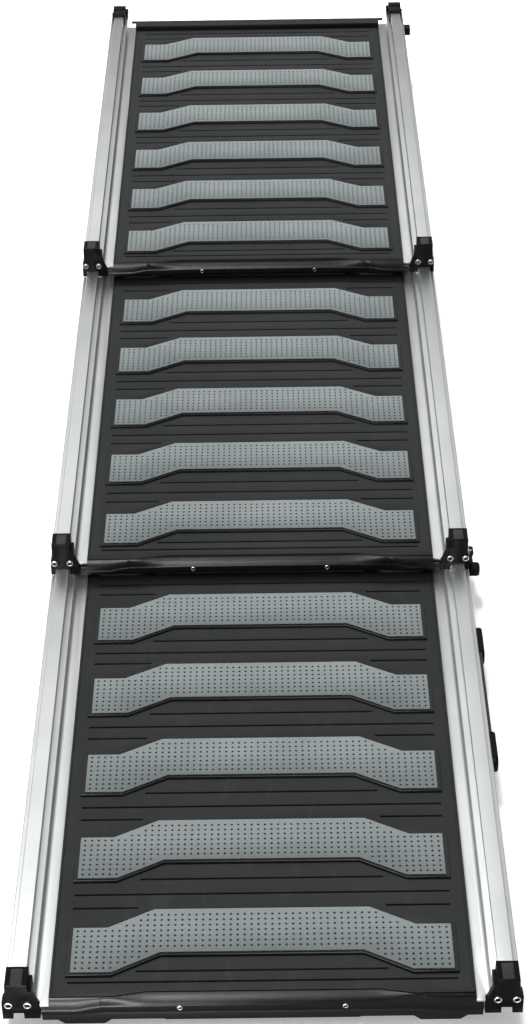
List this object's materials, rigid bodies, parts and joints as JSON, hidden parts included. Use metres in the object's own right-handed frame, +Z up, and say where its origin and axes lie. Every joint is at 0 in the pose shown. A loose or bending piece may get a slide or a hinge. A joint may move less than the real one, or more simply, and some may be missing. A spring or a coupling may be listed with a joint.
{
  "type": "telescoping dog ramp",
  "caption": "Free-standing telescoping dog ramp: rail-and-tread sections with chevron grip strips slide out over one another on side rails; carry handle and release catch at the side.",
  "frame": {"origin": "middle of the base of the whole box, on the floor, ramp pulled out", "axes": "+Y from the low front end to the high rear end, +X to the right seen from the front end, +Z up"},
  "size_m": [0.451, 1.899, 0.0925],
  "materials": {
    "rail_aluminium": "satin anodised extrusion",
    "tread_plastic": "fine moulded texture, charcoal",
    "grip_rubber": "soft grey grip with dimples",
    "nose_plastic": "semi-gloss black",
    "bracket_plastic": "satin black glass-filled nylon",
    "bumper_rubber": "smooth black",
    "foot_rubber": "matt black",
    "strap_rubber": "matt black flexible strap",
    "screw_steel": "zinc plated",
    "spring_steel": "bright wire"
  },
  "bodies": {
    "bottom": {"bottom_bracket_left": "bracket_plastic", "bottom_bracket_right": "bracket_plastic", "bottom_bracket_screws": "screw_steel", "bottom_bumper_pads": "bumper_rubber", "bottom_grip_strips": "grip_rubber", "bottom_nose": "nose_plastic", "bottom_nose_screws": "screw_steel", "bottom_rail_left": "rail_aluminium", "bottom_rail_right": "rail_aluminium", "bottom_rear_cap_left": "bracket_plastic", "bottom_rear_cap_right": "bracket_plastic", "bottom_rear_crossbar": "tread_plastic", "bottom_tread_panel": "tread_plastic", "bottom_tread_screws": "screw_steel", "foot_bar": "foot_rubber", "rear_feet": "foot_rubber", "handle_strap": "strap_rubber", "handle_mount_front": "bracket_plastic", "handle_mount_rear": "bracket_plastic", "handle_screws": "screw_steel", "release_mount": "bracket_plastic", "release_screws": "screw_steel", "release_pin": "screw_steel", "release_spring": "spring_steel"},
    "middle": {"middle_bracket_left": "bracket_plastic", "middle_bracket_right": "bracket_plastic", "middle_bracket_screws": "screw_steel", "middle_bumper_pads": "bumper_rubber", "middle_grip_strips": "grip_rubber", "middle_nose": "nose_plastic", "middle_nose_screws": "screw_steel", "middle_rail_left": "rail_aluminium", "middle_rail_right": "rail_aluminium", "middle_rear_cap_left": "bracket_plastic", "middle_rear_cap_right": "bracket_plastic", "middle_rear_crossbar": "tread_plastic", "middle_stop_bar": "tread_plastic", "middle_tread_panel": "tread_plastic", "middle_tread_screws": "screw_steel", "release_stop": "bracket_plastic"},
    "top": {"top_bracket_left": "bracket_plastic", "top_bracket_right": "bracket_plastic", "top_bracket_screws": "screw_steel", "top_bumper_pads": "bumper_rubber", "top_grip_strips": "grip_rubber", "top_nose": "nose_plastic", "top_nose_screws": "screw_steel", "top_rail_left": "rail_aluminium", "top_rail_right": "rail_aluminium", "top_rear_cap_left": "bracket_plastic", "top_rear_cap_right": "bracket_plastic", "top_rear_crossbar": "tread_plastic", "top_stop_bar": "tread_plastic", "top_tread_panel": "tread_plastic", "top_tread_screws": "screw_steel", "tether_lug": "bracket_plastic", "tether_screw": "screw_steel"},
    "release_lever": {"release_lever": "bracket_plastic"}
  },
  "joints": [
    {"name": "middle_slide", "type": "slide", "parent": "bottom", "child": "middle", "axis": [0, -1, 0], "range_m": [0, 0.554]},
    {"name": "top_slide", "type": "slide", "parent": "middle", "child": "top", "axis": [0, -1, 0], "range_m": [0, 0.554]},
    {"name": "release_lever_hinge", "type": "hinge", "parent": "bottom", "child": "release_lever", "pos_m": [0.2169, -0.3385, 0.022], "axis": [0, 0, 1], "range_deg": [0, 12], "stiffness_Nm_per_rad": 0.08, "springref_deg": -17.19}
  ]
}
